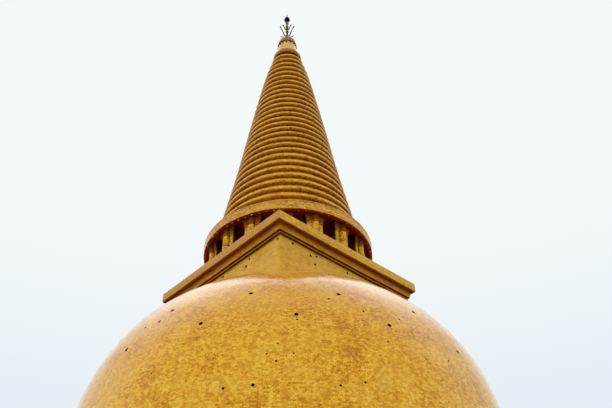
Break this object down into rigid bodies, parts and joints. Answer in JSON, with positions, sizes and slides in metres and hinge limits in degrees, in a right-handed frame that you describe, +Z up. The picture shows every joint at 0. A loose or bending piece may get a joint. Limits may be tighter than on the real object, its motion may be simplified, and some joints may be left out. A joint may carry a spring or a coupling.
{
  "type": "bell-shaped stupa, scale model 1:10",
  "caption": "Round bell-shaped stupa clad in gold mosaic tile, with a square throne, a colonnade, a tapering ringed spire and a pronged finial; 1:10 scale model.",
  "frame": {"origin": "middle of the round foot, on the ground", "axes": "+Z up along the spire; the throne's faces look along +X, -X, +Y and -Y"},
  "size_m": [7.5, 7.5, 12.045],
  "materials": {
    "gold_tile_foot": "gold glazed tile on the round foot and the great rings",
    "gold_mosaic_bell": "small gold mosaic tile, glossy, with cloudy weathering",
    "gold_tile_throne": "gold glazed tile, satin with weathering",
    "gold_tile_column": "gold glazed tile, satin",
    "gold_tile_spire": "gold glazed tile on rounded rings, dirt in the grooves",
    "shaded_render": "soot-dark lime render",
    "amber_glaze": "amber-brown glaze",
    "pale_glaze": "pale cream-gold glaze",
    "dark_bronze": "dark weathered bronze",
    "gilded_metal": "worn gilding"
  },
  "bodies": {
    "root": {"base_drum": "gold_tile_foot", "ground_plinth": "gold_tile_foot", "drum_cornice": "gold_tile_foot", "sloping_skirt": "gold_tile_foot", "great_ring_lower": "gold_tile_foot", "great_ring_middle": "gold_tile_foot", "great_ring_upper": "gold_tile_foot", "bell_mouth": "gold_tile_foot", "bell": "gold_mosaic_bell", "throne_wall": "gold_tile_throne", "throne_fillets": "gold_tile_throne", "throne_band": "gold_tile_throne", "throne_slab": "gold_tile_throne", "colonnade_step": "gold_tile_throne", "colonnade_core": "shaded_render", "column_01": "gold_tile_column", "column_02": "gold_tile_column", "column_03": "gold_tile_column", "column_04": "gold_tile_column", "column_05": "gold_tile_column", "column_06": "gold_tile_column", "column_07": "gold_tile_column", "column_08": "gold_tile_column", "column_09": "gold_tile_column", "column_10": "gold_tile_column", "column_11": "gold_tile_column", "column_12": "gold_tile_column", "column_13": "gold_tile_column", "column_14": "gold_tile_column", "column_15": "gold_tile_column", "column_16": "gold_tile_column", "spire_cornice": "gold_tile_spire", "spire_foot": "gold_tile_spire", "spire_rings_lower": "gold_tile_spire", "spire_rings_middle": "gold_tile_spire", "spire_rings_upper": "gold_tile_spire", "spire_collar": "amber_glaze", "spire_neck": "pale_glaze", "rounded_cap": "amber_glaze", "lower_prongs": "dark_bronze", "upper_prongs": "dark_bronze", "lower_stem": "gilded_metal", "inner_prongs": "dark_bronze", "upper_stem": "gilded_metal", "crown_bud": "dark_bronze", "needle": "dark_bronze"}
  },
  "joints": []
}
